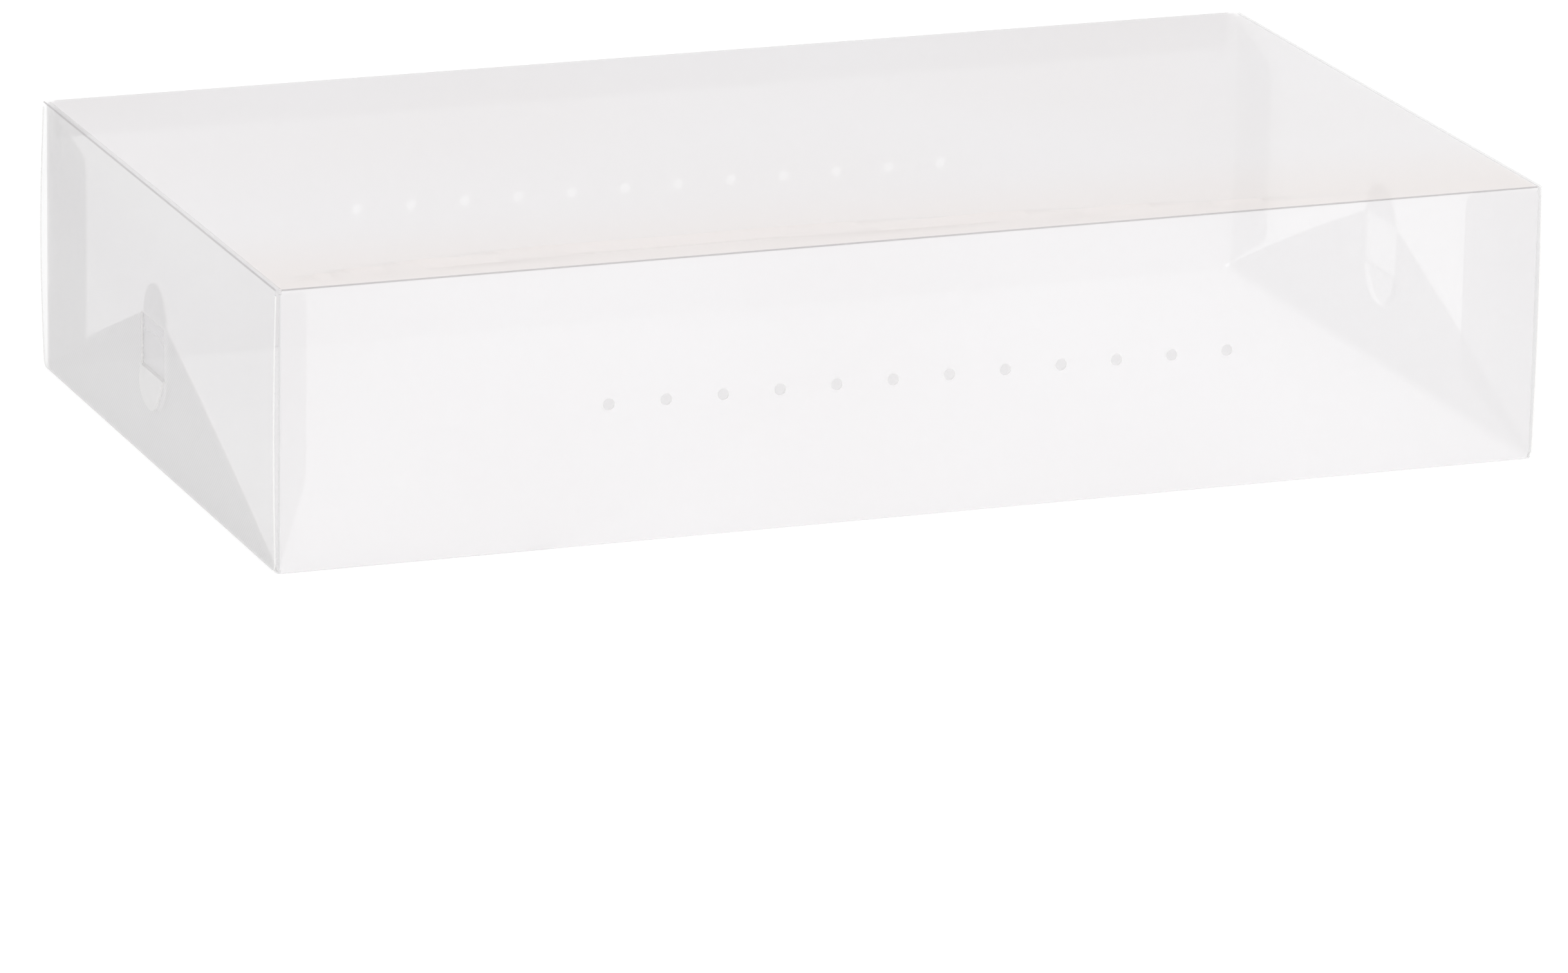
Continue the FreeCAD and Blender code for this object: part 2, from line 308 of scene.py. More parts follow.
def plastic(name, light, dark, alpha, roughness, hatch=0.0, streaks=False, warm_edge=None, coat=0.15):
    """Translucent polypropylene: cloudy colour, satin grain and, if hatch is above 0, the painted shade
    and highlight of a diagonal emboss. streaks draws the clouds out into soft diagonal bands. warm_edge
    is a colour near the box's front."""
    material = bpy.data.materials.new(name)
    material.use_nodes = True
    tree = material.node_tree
    shader = tree.nodes["Principled BSDF"]
    where = node(tree, "ShaderNodeTexCoord").outputs["Object"]

    drawn = where
    if streaks:
        drawn = node(
            tree,
            "ShaderNodeMapping",
            {"Vector": where, "Rotation": (math.radians(-62), 0, 0), "Scale": (1.0, 0.35, 3.0)},
        ).outputs["Vector"]
    cloud = node(tree, "ShaderNodeTexNoise", {"Vector": drawn, "Scale": 8.0, "Detail": 0.0})
    share = node(
        tree, "ShaderNodeMapRange", {"Value": cloud.outputs["Fac"], "From Min": 0.3, "From Max": 0.7}
    )
    colour = node(
        tree,
        "ShaderNodeMix",
        {"Factor": share.outputs["Result"], 6: (*dark, 1), 7: (*light, 1)},
        data_type="RGBA",
    ).outputs[2]
    if warm_edge:
        depth = node(tree, "ShaderNodeSeparateXYZ", {"Vector": where}).outputs["Y"]
        nearness = node(
            tree,
            "ShaderNodeMapRange",
            {"Value": depth, "From Min": -0.06, "From Max": -0.145},
            interpolation_type="SMOOTHSTEP",
        )
        colour = node(
            tree,
            "ShaderNodeMix",
            {"Factor": nearness.outputs["Result"], 6: colour, 7: (*warm_edge, 1)},
            data_type="RGBA",
        ).outputs[2]
    # painted shade and highlight of the emboss ridges, scaled into the base colour
    if hatch:
        colour = node(
            tree,
            "ShaderNodeVectorMath",
            {0: colour, "Scale": hatch_shade(tree, where, hatch)},
            operation="SCALE",
        ).outputs[0]
    tree.links.new(colour, shader.inputs["Base Color"])

    satin = node(tree, "ShaderNodeTexNoise", {"Vector": where, "Scale": 45.0, "Detail": 1.0})
    polish = node(
        tree,
        "ShaderNodeMapRange",
        {"Value": satin.outputs["Fac"], "To Min": roughness - 0.05, "To Max": roughness + 0.05},
    )
    tree.links.new(polish.outputs["Result"], shader.inputs["Roughness"])
    bump = node(
        tree, "ShaderNodeBump", {"Height": satin.outputs["Fac"], "Strength": 0.3, "Distance": 0.05 * MM}
    )
    tree.links.new(bump.outputs["Normal"], shader.inputs["Normal"])

    shader.inputs["Alpha"].default_value = alpha
    shader.inputs["IOR"].default_value = 1.49
    shader.inputs["Coat Weight"].default_value = coat
    shader.inputs["Coat Roughness"].default_value = 0.08
    return material


PANEL = plastic("panel_sheet", (0.963, 0.953, 0.963), (0.948, 0.935, 0.943), 0.5, 0.38)
# The bottom is the panels' sheet painted lighter: painted light that lifts the shade inside and under the box
BOTTOM = plastic("bottom_sheet", (0.98, 0.97, 0.98), (0.97, 0.96, 0.965), 0.32, 0.38)
TOP = plastic(
    "top_sheet", (0.965, 0.951, 0.96), (0.957, 0.938, 0.943), 0.6, 0.38, warm_edge=(0.955, 0.91, 0.895)
)
# The cover is the panels' sheet painted darker: painted shade of the box's ends
COVER = plastic(
    "cover_sheet", (0.87, 0.865, 0.865), (0.84, 0.83, 0.835), 0.31, 0.38, hatch=0.035, streaks=True
)
# Darker still: painted shade where the lock and dust flaps lie behind the cover
FLAP = plastic("flap_sheet", (0.69, 0.685, 0.685), (0.65, 0.64, 0.65), 0.33, 0.38, hatch=0.12, streaks=True)
# The tab is the panels' sheet painted darker, like the cover: painted shade of the box's ends
TAB = plastic("tab_sheet", (0.87, 0.865, 0.86), (0.84, 0.83, 0.835), 0.33, 0.38)
# Rims: a bright cut edge, and a nearly clear one where a sheet meets its neighbour
CUT = plastic("cut_edge", (0.97, 0.965, 0.95), (0.93, 0.93, 0.92), 0.6, 0.38)
JOINT = plastic("joint_edge", (0.95, 0.95, 0.95), (0.93, 0.93, 0.93), 0.04, 0.38, coat=0.0)
# Folds: grey ones are painted shade in the creases, the white one a painted highlight along the front vertical edges,
# with a stronger coat for real gloss
PAINTED_FOLD_SHADE = plastic("fold_painted_shade", (0.52, 0.50, 0.50), (0.44, 0.42, 0.43), 0.6, 0.2, coat=0.5)
PAINTED_FOLD_SOFT_SHADE = plastic("fold_painted_soft_shade", (0.78, 0.77, 0.77), (0.72, 0.71, 0.72), 0.45, 0.22, coat=0.5)
PAINTED_FOLD_HIGHLIGHT = plastic("fold_painted_highlight", (0.95, 0.95, 0.95), (0.88, 0.88, 0.89), 0.45, 0.14, coat=0.8)


# Studio light
SKY_LIGHT = 0.9  # what the even sky gives the object
SKY_SEEN = 1.0  # how bright the backdrop looks
SOFT_BOX = (0.35, -0.6, 0.75)  # the direction of a large soft box in that sky
SOFT_BOX_LIGHT = 0.5
FLOOR_SHADE = (0.42, 0.42, 0.42)
FLOOR_GLOW = 0.7  # keeps the floor white in the picture


# Thin sheets

def arc(centre, radius, start, end, count):
    """Points along a circle's arc, with angles in degrees."""
    angles = np.radians(np.linspace(start, end, count))
    return [(centre[0] + radius * math.cos(a), centre[1] + radius * math.sin(a)) for a in angles]


def box_outline(low, high, radii=(0, 0, 0, 0)):
    """An anticlockwise rectangle. radii round its corners, from the lowest one on."""
    centres = [(low[0], low[1]), (high[0], low[1]), (high[0], high[1]), (low[0], high[1])]
    inwards = [(1, 1), (-1, 1), (-1, -1), (1, -1)]
    points = []
    for corner, (centre, inward, radius) in enumerate(zip(centres, inwards, radii)):
        if radius:
            middle = (centre[0] + inward[0] * radius, centre[1] + inward[1] * radius)
            start = 180 + 90 * corner
            points += arc(middle, radius, start, start + 90, CORNER_POINTS)
        else:
            points.append(centre)
    return points


def divided(points, step):
    """The closed outline's points, with more put in so that none are further apart than step."""
    out = []
    for a, b in zip(points, points[1:] + points[:1]):
        a, b = np.array(a), np.array(b)
        count = max(1, math.ceil(np.linalg.norm(b - a) / step))
        out += [a + (b - a) * i / count for i in range(count)]
    return out


def inside(points, outline):
    """Which points lie in the outline, by the crossing rule."""
    x, y = points[:, 0], points[:, 1]
    found = np.zeros(len(points), bool)
    for (x0, y0), (x1, y1) in zip(outline, outline[1:] + outline[:1]):
        if y0 == y1:
            continue
        crosses = (y0 > y) != (y1 > y)
        found ^= crosses & (x < (x1 - x0) * (y - y0) / (y1 - y0) + x0)
    return found


def gap_to(points, outline):
    """How far each point is from the nearest point of the outline."""
    nearest = np.full(len(points), 1e9)
    for p in outline:
        nearest = np.minimum(nearest, np.hypot(points[:, 0] - p[0], points[:, 1] - p[1]))
    return nearest


def sheet(name, outline, place, thickness, materials, holes=(), rings=(), step=MESH_STEP, joined=None):
    """A closed thin sheet. place turns (u, v, w) arrays into points, w being the height off the middle.
    joined(u, v) is True where the rim meets another piece, so that it isn't a bright cut edge."""
    rims = [divided(list(outline), step), *[divided(list(h), step) for h in holes]]
    low, high = np.min(outline, axis=0), np.max(outline, axis=0)
    counts = [max(2, round((high[i] - low[i]) / step)) for i in range(2)]
    grid = np.stack(np.meshgrid(*[np.linspace(low[i], high[i], counts[i] + 1) for i in range(2)]), -1)
    grid = grid.reshape(-1, 2)
    keep = inside(grid, [tuple(p) for p in rims[0]])
    for hole in rims[1:]:
        keep &= ~inside(grid, [tuple(p) for p in hole])
    for rim in rims + [list(r) for r in rings]:
        keep &= gap_to(grid, rim) > 0.45 * min(step, rim_step(rim))
    points, edges = [], []
    for rim in rims:
        first = len(points)
        points += [tuple(p) for p in rim]
        edges += [(first + i, first + (i + 1) % len(rim)) for i in range(len(rim))]
    points += [tuple(p) for ring in rings for p in ring]
    points += [tuple(p) for p in grid[keep]]
    scale = 1000.0  # the triangulation works best with numbers near 1
    flat, _, triangles, *_ = delaunay_2d_cdt(
        [Vector(p) * scale for p in points], edges, [], 0, 1e-5
    )
    uv = np.array([tuple(v) for v in flat]) / scale
    triangles = np.array(triangles)
    centres = uv[triangles].mean(1)
    good = inside(centres, [tuple(p) for p in rims[0]])
    for hole in rims[1:]:
        good &= ~inside(centres, [tuple(p) for p in hole])
    triangles = triangles[good]
    a, b, c = (uv[triangles[:, i]] for i in range(3))
    turned = np.cross(b - a, c - a) < 0
    triangles[turned] = triangles[turned][:, ::-1]
    return closed(name, uv, triangles, place, thickness, materials, joined)


def rim_step(rim):
    return math.dist(rim[0], rim[1])


def closed(name, uv, faces, place, thickness, materials, joined=None, face_material=None):
    """Two layers of the faces, thickness apart, with walls round their borders."""
    used = np.unique(faces)
    renumber = np.zeros(len(uv), int)
    renumber[used] = np.arange(len(used))
    uv, faces = uv[used], renumber[faces]
    u, v = uv[:, 0], uv[:, 1]
    count = len(uv)
    half = np.full(count, thickness / 2)
    points = np.concatenate([place(u, v, half), place(u, v, -half)])
    sides = {}
    for face in faces:
        for i in range(len(face)):
            sides[(face[i], face[(i + 1) % len(face)])] = True
    border = [(a, b) for a, b in sides if (b, a) not in sides]
    quads = [tuple(int(i) for i in f) for f in faces]
    polygons = quads + [tuple(i + count for i in f[::-1]) for f in quads]
    slots = list(face_material if face_material is not None else [FACE] * len(faces)) * 2
    for a, b in border:
        polygons.append((int(b), int(a), int(a + count), int(b + count)))
        middle = (uv[a] + uv[b]) / 2
        slots.append(JOINED_RIM if joined is not None and joined(*middle) else CUT_RIM)
    mesh = bpy.data.meshes.new(name)
    mesh.from_pydata([tuple(p) for p in points], [], polygons)
    for material in materials:
        mesh.materials.append(material)
    if mirrored(points, polygons):
        mesh.flip_normals()
    mesh.polygons.foreach_set("material_index", slots)
    mesh.polygons.foreach_set("use_smooth", [True] * len(polygons))
    mesh.update()
    mesh.set_sharp_from_angle(angle=SHARP_ANGLE)
    piece = bpy.data.objects.new(name, mesh)
    bpy.context.scene.collection.objects.link(piece)
    return piece


def mirrored(points, polygons):
    """True if a closed mesh's faces look inwards, by the sign of its volume."""
    corner = [
        [polygon[0], polygon[i], polygon[i + 1]]
        for polygon in polygons
        for i in range(1, len(polygon) - 1)
    ]
    a, b, c = np.moveaxis(points[np.array(corner)], 1, 0)
    return np.einsum("ij,ij->i", a, np.cross(b, c)).sum() < 0


def finish_piece(piece, node_name, slot):
    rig.replaces(piece, node_name)
    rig.slot(piece, slot)
    return piece


# Folds

def fold(name, profile, span, place, thickness, materials, marked, segments=60):
    """A rounded fold: a profile of (position, normal) swept along its axis. marked is the range of
    profile faces that take the last material, the fold line itself."""
    rows = len(profile)
    stations = np.linspace(span[0], span[1], segments + 1)
    uv = np.array([(i, s) for s in stations for i in range(rows)], float)
    faces, kinds = [], []
    for k in range(segments):
        for i in range(rows - 1):
            a = k * rows + i
            faces.append((a, a + 1, a + rows + 1, a + rows))
            kinds.append(FOLD_LINE if marked[0] <= i < marked[1] else FACE)
    positions = np.array([p for p, _ in profile])
    normals = np.array([n for _, n in profile])

    def swept(u, v, w):
        index = np.rint(u).astype(int)
        flat = positions[index] + normals[index] * w[:, None]
        return place(flat[:, 0], flat[:, 1], v)

    return closed(
        name, uv, np.array(faces), swept, thickness, materials,
        joined=lambda u, v: True, face_material=kinds,
    )


def bend(start, direction, turn, lead_in, radius, lead_out, count=9):
    """A fold's profile in its own plane: a straight lead, an arc of that radius, another lead.
    direction is in degrees, and turn is how far it turns anticlockwise (or clockwise, if negative)."""
    side = 1 if turn > 0 else -1
    heading = math.radians(direction)
    ahead = np.array([math.cos(heading), math.sin(heading)])
    left = np.array([-ahead[1], ahead[0]]) * side
    start = np.array(start, float)
    profile = []
    if lead_in:
        profile.append((start, -left))
    start = start + ahead * lead_in
    centre = start + left * radius
    for i in range(count):
        a = math.radians(abs(turn)) * i / (count - 1)
        normal = -left * math.cos(a) + ahead * math.sin(a)
        profile.append((centre + normal * radius, normal))
    last, normal = profile[-1]
    if lead_out:
        out = ahead * math.cos(math.radians(turn)) + left * math.sin(math.radians(abs(turn)))
        profile.append((last + out * lead_out, normal))
    first = (1 if lead_in else 0) + (count - 1) // 4
    return profile, (first, first + (count - 1) // 2)


# Box pieces

def corners(node_name):
    low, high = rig.box(node_name)
    return np.array(low), np.array(high)


def smooth(x):
    x = np.clip(x, 0, 1)
    return x * x * (3 - 2 * x)


def wave(a, b, seed):
    """A slow unevenness, between -1 and 1."""
    return 0.5 * np.sin(11 * a + seed) * np.cos(17 * b + 2 * seed) + 0.5 * np.sin(23 * b + 7 * a + seed)


def edge_fade(a, b, low, high, reach=0.02):
    """0 on the panel's edges and 1 away from them."""
    near = np.minimum(np.minimum(a - low[0], high[0] - a), np.minimum(b - low[1], high[1] - b))
    return smooth(near / reach)


def make_top():
    low, high = corners("top_panel")
    middle, thickness = (low[2] + high[2]) / 2, high[2] - low[2]
    length = high[0] - low[0]

    def height(x, y):
        along = (x - low[0]) / length
        ridge = low[1] + RIPPLE_REACH * np.sin(math.pi * np.clip(along * 1.05, 0, 1) ** 0.62)
        from_ridge = (y - ridge) / RIPPLE_WIDTH
        fade = smooth(along / 0.04) * smooth((0.97 - along) / 0.3)
        ripple = RIPPLE_HEIGHT * fade * (np.exp(-from_ridge**2) - 0.5 * np.exp(-((from_ridge + 1.9) ** 2)))
        second = (y - low[1] - 0.45 * (ridge - low[1])) / (1.3 * RIPPLE_WIDTH)
        ripple += 0.5 * RIPPLE_HEIGHT * fade * np.exp(-second**2)
        calm = edge_fade(x, y, low, high, 0.008)
        return PANEL_WAVE * edge_fade(x, y, low, high, 0.05) * wave(x, y, 1.0) + ripple * calm

    def place(x, y, w):
        return np.stack([x, y, middle + height(x, y) + w], 1)

    piece = sheet(
        "top_sheet", box_outline(low, high), place, thickness, [TOP, CUT, JOINT], step=4.5 * MM,
        joined=lambda x, y: True,
    )
    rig.ride(finish_piece(piece, "top_panel", "panel_sheet"), "top")
    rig.squash(piece, "cover_open_left", axis=(0, 0, 1), anchor=(0, 0, middle), keep=SQUASH_KEEP)


def make_bottom():
    low, high = corners("bottom_panel")
    middle, thickness = (low[2] + high[2]) / 2, high[2] - low[2]

    def place(x, y, w):
        lift = PANEL_WAVE * edge_fade(x, y, low, high, 0.05) * (1 + wave(x, y, 4.0))
        return np.stack([x, y, middle + lift + w], 1)

    piece = sheet(
        "bottom_sheet", box_outline(low, high), place, thickness, [BOTTOM, CUT, JOINT],
        joined=lambda x, y: True,
    )
    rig.ride(finish_piece(piece, "bottom_panel", "panel_sheet"), "base")


def vent_centres():
    """The vents' centres (x, z) on the front panel, in a row centred on it."""
    low, high = corners("front_panel")
    middle = (low[2] + high[2]) / 2
    return [((i - (VENT_COUNT - 1) / 2) * VENT_PITCH, middle) for i in range(VENT_COUNT)]


def make_side(part, out_y, seed, joined_height):
    """The front or back panel with its row of vents. joined_height is where its rim stops meeting a fold."""
    low, high = corners(f"{part}_panel")
    middle, thickness = (abs(low[1]) + abs(high[1])) / 2, high[1] - low[1]
    vents = vent_centres()

    def place(x, z, w):
        bulge = PANEL_WAVE * edge_fade(x, z, low[[0, 2]], high[[0, 2]], 0.04) * wave(x, z, seed)
        if part == "back":
            bulge = np.abs(bulge)
        for centre in vents:
            away = np.hypot(x - centre[0], z - centre[1]) - VENT_RADIUS
            bulge = bulge + RIM_HEIGHT * np.exp(-((away / RIM_WIDTH) ** 2))
        return np.stack([-out_y * x, out_y * (middle + bulge + w), z], 1)

    def joined(x, z):
        from_vent = min(math.dist((x, z), centre) for centre in vents)
        return from_vent > 2 * VENT_RADIUS and z < joined_height

    holes = [arc(c, VENT_RADIUS, 0, 345, 24) for c in vents]
    rings = [arc(c, VENT_RADIUS + extra, 0, 345, 24) for c in vents for extra in VENT_RINGS]
    piece = sheet(
        f"{part}_sheet", box_outline(low[[0, 2]], high[[0, 2]]), place, thickness, [PANEL, CUT, JOINT],
        holes=holes, rings=rings, joined=joined,
    )
    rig.ride(finish_piece(piece, f"{part}_panel", "panel_sheet"), part)


def make_glue_strip():
    low, high = corners("glue_flap")
    middle, thickness = (low[1] + high[1]) / 2, high[1] - low[1]

    def place(x, z, w):
        return np.stack([-x, middle + w, z], 1)

    outline = box_outline(low[[0, 2]], high[[0, 2]], (FLAP_ROUNDING, FLAP_ROUNDING, 0, 0))
    piece = sheet(
        "glue_strip", outline, place, thickness, [PANEL, CUT, JOINT],
        joined=lambda x, z: z > high[2] - MM,
    )
    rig.ride(finish_piece(piece, "glue_flap", "flap_sheet"), "back")


def make_tube_creases():
    """The four long folds. Each profile lies in the (y, z) plane, and runs from one panel to the next."""
    thickness = corners("top_panel")[1][2] - corners("top_panel")[0][2]
    low, high = corners("crease_top_front")
    deep, wide, tall = high[0], -low[1], high[2]
    radius = CREASE_RADIUS
    mid = thickness / 2
    outer = radius + mid
    plans = [
        ("fold_bottom_front", "crease_bottom_front", (-wide + outer, mid), 180, -90, PAINTED_FOLD_SOFT_SHADE,
         ("base", "front"), (0, -wide + outer, mid), (0, -wide, outer)),
        ("fold_bottom_back", "crease_bottom_back", (wide - outer, mid), 0, 90, PAINTED_FOLD_SOFT_SHADE,
         ("base", "back"), (0, wide - outer, mid), (0, wide, outer)),
        ("fold_top_front", "crease_top_front", (-wide + mid, tall - outer), 90, -90, PAINTED_FOLD_SHADE,
         ("front", "top"), (0, -wide, tall - outer), (0, -wide + outer, tall)),
    ]
    for name, cad, start, direction, turn, finish, bodies, first, last in plans:
        profile, marked = bend(start, direction, turn, 0, radius, 0)
        piece = fold(
            name, profile, (-deep, deep), lambda y, z, x: np.stack([x, y, z], 1), thickness,
            [PANEL, CUT, JOINT, finish], marked,
        )
        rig.blend(finish_piece(piece, cad, "crease_sheet"), *bodies, start=first, end=last)
    low, high = corners("crease_top_back")
    start = (low[1], high[2] - mid)
    profile, marked = bend(start, 0, -90, 0, radius, 0)
    piece = fold(
        "fold_top_back", profile, (low[0], high[0]), lambda y, z, x: np.stack([x, y, z], 1), thickness,
        [PANEL, CUT, JOINT, PAINTED_FOLD_SHADE], marked,
    )
    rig.ride(finish_piece(piece, "crease_top_back", "crease_sheet"), "top")


# End pieces. side is -1 for the left end and 1 for the right one.

def end_bow(y, z, side):
    """How far the end's flaps belly outwards, the same for each layer so that they stay apart."""
    low, high = corners("cover_flap_left")
    tall = (z - 1.7 * MM) / (high[2] - 1.7 * MM)
    across = (y - low[1]) / (high[1] - low[1])
    amount = END_BOW + (END_BOW_BACK - END_BOW) * across**2
    if side > 0:
        amount = END_BOW
    return amount * np.sin(math.pi * np.clip(tall, 0, 1))


def end_place(x, side):
    """Places a sheet bellied outwards. Its (u, v) are (y, z) on the left and (-y, z) on the right."""
    def place(u, z, w):
        y = -u * side
        return np.stack([side * (x + w + end_bow(y, z, side)), y, z], 1)
    return place


def make_cover(side, end):
    low, high = corners(f"cover_flap_{end}")
    thickness = high[0] - low[0]
    x = (abs(low[0]) + abs(high[0])) / 2
    window_low, window_high = (-WINDOW_HALF, SLIT_HEIGHT), (WINDOW_HALF, HEAD_HEIGHT)
    outline = box_outline(low[1:], high[1:], (FLAP_ROUNDING, FLAP_ROUNDING, 0, 0))
    piece = sheet(
        f"cover_{end}", outline, end_place(x, side), thickness, [COVER, CUT, JOINT],
        holes=[box_outline(window_low, window_high)], step=FLAP_STEP,
        joined=lambda u, z: z > high[2] - 1e-6,
    )
    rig.ride(finish_piece(piece, f"cover_flap_{end}", "flap_sheet"), f"cover_{end}")
    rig.squash(piece, f"cover_open_{end}", axis=(1, 0, 0), anchor=(side * x, 0, 0), keep=SQUASH_KEEP)

    outer = corners("top_panel")[1][2]
    mid = thickness / 2
    radius = CREASE_RADIUS
    start = (corners("top_panel")[1][0], outer - mid)
    lead_in = x - radius - start[0]
    lead_out = (start[1] - radius) - high[2]
    profile, marked = bend(start, 0, -90, lead_in, radius, lead_out)
    span = (low[1] + 0.4 * MM, high[1] - 0.4 * MM)
    fold_piece = fold(
        f"fold_cover_{end}", profile, span, lambda a, z, y: np.stack([side * a, -y * side, z], 1),
        thickness, [COVER, CUT, JOINT, PAINTED_FOLD_SHADE], marked,
    )
    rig.blend(
        finish_piece(fold_piece, f"crease_cover_{end}", "crease_sheet"), "top", f"cover_{end}",
        start=(side * start[0], 0, start[1]), end=(side * x, 0, high[2]),
    )


def make_lock(side, end):
    low, high = corners(f"lock_flap_{end}")
    thickness = high[0] - low[0]
    x = (abs(low[0]) + abs(high[0])) / 2
    neck, head, slit = HEAD_RADIUS, HEAD_HEIGHT, SLIT_HEIGHT + 0.1 * MM
    swell = [
        (high[1] + (neck - high[1]) * t, low[2] + (head - low[2]) * t + LOCK_SWELL * math.sin(math.pi * t))
        for t in np.linspace(0, 1, 12)[:-1]
    ]
    outline = [(-u, z) for u, z in swell[:1]] + swell + arc((0, head), neck, 0, 180, 25)
    outline += [(-u, z) for u, z in swell[:0:-1]]
    slit_hole = arc((0, slit), neck, 180, 360, 25)
    piece = sheet(
        f"lock_{end}", outline, end_place(x, side), thickness, [FLAP, CUT, JOINT], holes=[slit_hole],
        step=FLAP_STEP, joined=lambda u, z: z < low[2] + 1e-6,
    )
    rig.ride(finish_piece(piece, f"lock_flap_{end}", "flap_sheet"), f"lock_{end}")

    mid = thickness / 2
    radius = LOCK_CREASE_RADIUS
    start = (corners("bottom_panel")[1][0], mid)
    profile, marked = bend(start, 0, 90, x - radius - start[0], radius, low[2] - mid - radius)
    fold_piece = fold(
        f"fold_lock_{end}", profile, (low[1], high[1]), lambda a, z, y: np.stack([side * a, y * side, z], 1),
        thickness, [FLAP, CUT, JOINT, PAINTED_FOLD_SOFT_SHADE], marked,
    )
    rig.blend(
        finish_piece(fold_piece, f"crease_lock_{end}", "crease_sheet"), "base", f"lock_{end}",
        start=(side * start[0], 0, mid), end=(side * x, 0, low[2]),
    )


def make_tab(side, end):
    """The half disc cut from the lock flap: it comes out through the window and hangs over the cover."""
    low, high = corners(f"lock_tab_{end}")
    inner, outer = sorted((abs(low[0]), abs(high[0])))
    thickness = 0.6 * MM
    radius = high[1]
    root = high[2] - thickness
    reach = outer - thickness / 2 - inner

    def place(u, s, w):
        """s runs from the root, out through the window, round and down the disc."""
        y = -u * side
        turn = TAB_BEND_RADIUS
        out = np.clip(s, 0, reach - turn)
        angle = np.clip((s - (reach - turn)) / turn, 0, math.pi / 2)
        down = np.clip(s - (reach - turn) - turn * math.pi / 2, 0, None)
        depth = down / radius
        dish = TAB_DISH * depth * (0.35 * depth + 0.65 * (u / radius) ** 2 * 1.6)
        a = inner + out + turn * np.sin(angle) + dish + end_bow(y, root + 0 * y, side)
        z = root + thickness / 2 - turn * (1 - np.cos(angle)) - down
        return np.stack([side * (a + w * np.sin(angle)), y, z + w * np.cos(angle)], 1)

    straight = reach + (math.pi / 2 - 1) * TAB_BEND_RADIUS
    outline = [(-radius, 0), (radius, 0)] + arc((0, straight), radius, 0, 180, 31)
    piece = sheet(
        f"lock_tab_{end}_curled", outline, place, thickness, [TAB, CUT, JOINT], step=1.2 * MM,
        joined=lambda u, s: s < 1e-6,
    )
    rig.ride(finish_piece(piece, f"lock_tab_{end}", "flap_sheet"), f"tab_{end}")


def make_dust_flap(side, end, part, lean):
    """part is front or back: the side panel that the flap hangs on."""
    out_y = -1 if part == "front" else 1
    low, high = corners(f"dust_flap_{part}_{end}")
    thickness = high[0] - low[0]
    hinge_x, hinge_y = corners("front_panel")[1][0], abs(corners("top_panel")[0][1])
    radius = CREASE_RADIUS
    reach = hinge_y - min(abs(low[1]), abs(high[1]))
    head_cut, base_cut, rounding = 11 * MM, 22 * MM, 8 * MM
    root_low, root_high = low[2], high[2]
    free_low, free_high = root_low + base_cut, root_high - head_cut
    across = np.array([-math.sin(lean), math.cos(lean)])  # outwards, then away from the side panel
    start = np.array([math.cos(lean), math.sin(lean)]) * radius

    def to_box(out, inwards, z):
        return np.stack([side * (hinge_x + out), out_y * (hinge_y - inwards), z], 1)

    def place(u, z, w):
        curl = 0.6 * MM * (u / reach) ** 2
        out = start[0] + across[0] * u + (w - curl * (lean > 0.1)) * math.cos(lean)
        inwards = start[1] + across[1] * u + (w - curl * (lean > 0.1)) * math.sin(lean)
        return to_box(out, inwards, z)

    outline = [(0, root_low)]
    outline += rounded((0, root_low), (reach, free_low), (reach, free_high), rounding)
    outline += rounded((reach, free_low), (reach, free_high), (0, root_high), rounding)
    outline += [(0, root_high)]
    piece = sheet(
        f"dust_{part}_{end}_sheet", outline, place, thickness, [FLAP, CUT, JOINT], step=FLAP_STEP,
        joined=lambda u, z: u < 1e-6,
    )
    finish_piece(piece, f"dust_flap_{part}_{end}", "flap_sheet")
    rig.ride(piece, f"dust_{part}_{end}")
    if lean:
        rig.squash(
            piece, "tube_fold", axis=(1, 0, 0), anchor=(side * (hinge_x + radius), 0, 0), keep=SQUASH_KEEP
        )

    profile, marked = bend((0, -radius), 0, 90 + math.degrees(lean), 0, radius, 0)
    fold_piece = fold(
        f"fold_dust_{part}_{end}", profile, (root_low, root_high), lambda a, b, z: to_box(a, b, z),
        thickness, [PANEL, CUT, JOINT, PAINTED_FOLD_HIGHLIGHT if part == "front" else PAINTED_FOLD_SOFT_SHADE], marked, segments=24,
    )
    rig.blend(
        finish_piece(fold_piece, f"crease_dust_{part}_{end}", "crease_sheet"), part, f"dust_{part}_{end}",
        start=(side * hinge_x, out_y * (hinge_y + radius), 0),
        end=(side * (hinge_x + radius), out_y * hinge_y, 0),
    )


def rounded(before, corner, after, radius):
    """The points that round the corner of an outline."""
    before, corner, after = (np.array(p, float) for p in (before, corner, after))
    a, b = before - corner, after - corner
    a, b = a / np.linalg.norm(a), b / np.linalg.norm(b)
    half = math.acos(np.clip(a @ b, -1, 1)) / 2
    bisector = (a + b) / np.linalg.norm(a + b)
    centre = corner + bisector * radius / math.sin(half)
    first, last = corner + a * radius / math.tan(half), corner + b * radius / math.tan(half)
    points = []
    for i in range(CORNER_POINTS + 1):
        p = first + (last - first) * i / CORNER_POINTS - centre
        points.append(tuple(centre + p / np.linalg.norm(p) * radius))
    return points


# Studio

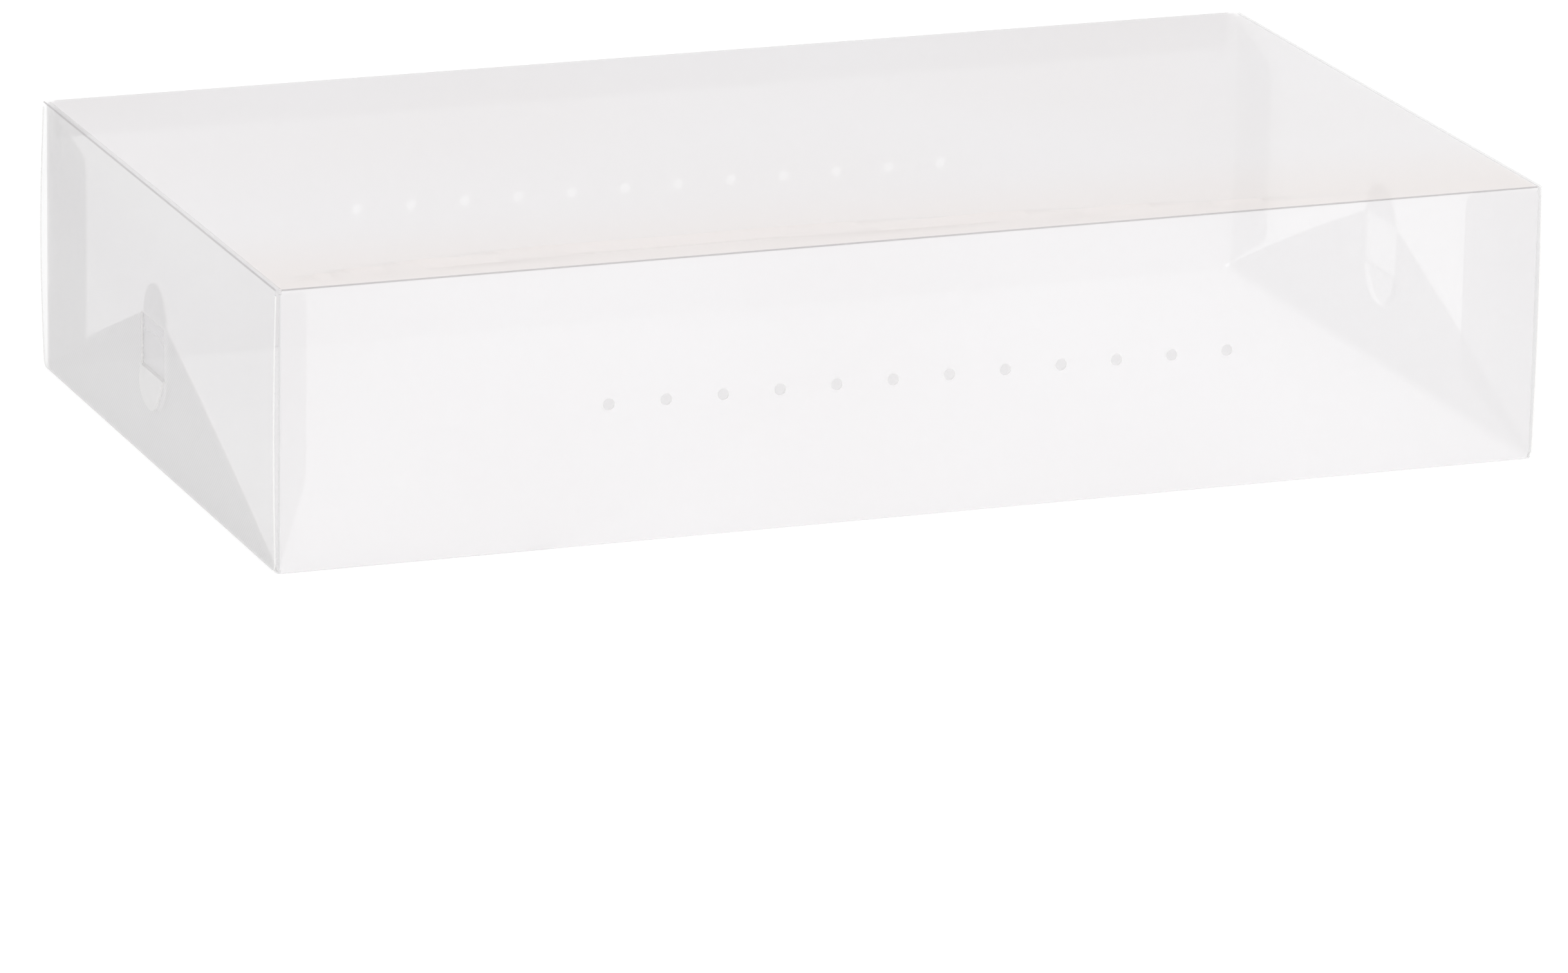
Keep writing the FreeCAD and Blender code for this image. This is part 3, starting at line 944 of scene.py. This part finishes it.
def make_studio():
    """A wide white floor under a bright even sky, with one large soft box in it."""
    world = bpy.data.worlds.new("studio")
    bpy.context.scene.world = world
    world.use_nodes = True
    tree = world.node_tree
    seen = node(tree, "ShaderNodeLightPath").outputs["Is Camera Ray"]
    strength = node(
        tree, "ShaderNodeMapRange", {"Value": seen, "To Min": SKY_LIGHT, "To Max": SKY_SEEN}
    ).outputs["Result"]
    towards = node(
        tree,
        "ShaderNodeVectorMath",
        {0: node(tree, "ShaderNodeTexCoord").outputs["Generated"], 1: Vector(SOFT_BOX).normalized()},
        operation="DOT_PRODUCT",
    ).outputs["Value"]
    soft_box = node(
        tree,
        "ShaderNodeMapRange",
        {"Value": towards, "From Min": 0.8, "From Max": 0.95, "To Max": SOFT_BOX_LIGHT},
        interpolation_type="SMOOTHSTEP",
    ).outputs["Result"]
    unseen = node(tree, "ShaderNodeMath", {0: 1.0, 1: seen}, operation="SUBTRACT").outputs[0]
    strength = node(
        tree, "ShaderNodeMath", {0: soft_box, 1: unseen, 2: strength}, operation="MULTIPLY_ADD"
    ).outputs[0]
    tree.links.new(strength, tree.nodes["Background"].inputs["Strength"])
    tree.nodes["Background"].inputs["Color"].default_value = (1, 1, 1, 1)

    mesh = bpy.data.meshes.new("floor")
    half = 12
    floor_corners = [(-half, -half, 0), (half, -half, 0), (half, half, 0), (-half, half, 0)]
    mesh.from_pydata(floor_corners, [], [(0, 1, 2, 3)])
    floor = bpy.data.objects.new("floor", mesh)
    floor.location = (0, 0, cad_low[2] - 0.2 * MM)
    bpy.context.scene.collection.objects.link(floor)
    material = bpy.data.materials.new("floor")
    material.use_nodes = True
    shader = material.node_tree.nodes["Principled BSDF"]
    shader.inputs["Base Color"].default_value = (*FLOOR_SHADE, 1)
    shader.inputs["Roughness"].default_value = 0.9
    shader.inputs["Specular IOR Level"].default_value = 0.0
    shader.inputs["Emission Color"].default_value = (1, 1, 1, 1)
    shader.inputs["Emission Strength"].default_value = FLOOR_GLOW
    mesh.materials.append(material)
    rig.stage(floor)

    scene = bpy.context.scene
    scene.view_settings.view_transform = "Standard"
    scene.cycles.transparent_max_bounces = 64
    scene.cycles.max_bounces = 32
    scene.cycles.sample_clamp_indirect = 2
    scene.cycles.use_denoising = True


make_camera()
make_studio()
make_top()
make_bottom()
make_side("front", -1, 2.0, 1.0)
make_side("back", 1, 3.0, corners("back_panel")[1][2] - MM)
make_glue_strip()
make_tube_creases()
for side, end in ((-1, "left"), (1, "right")):
    make_cover(side, end)
    make_lock(side, end)
    make_tab(side, end)
    make_dust_flap(side, end, "front", LEAN_FRONT_LEFT if side < 0 else LEAN_FRONT_RIGHT)
    make_dust_flap(side, end, "back", LEAN_BACK)

bpy.context.view_layer.update()
low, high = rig.bounds()
with open(SIZE_FILE, "w") as size_file:
    json.dump({"cad": [list(cad_low), list(cad_high)], "visual": [list(low), list(high)]}, size_file)
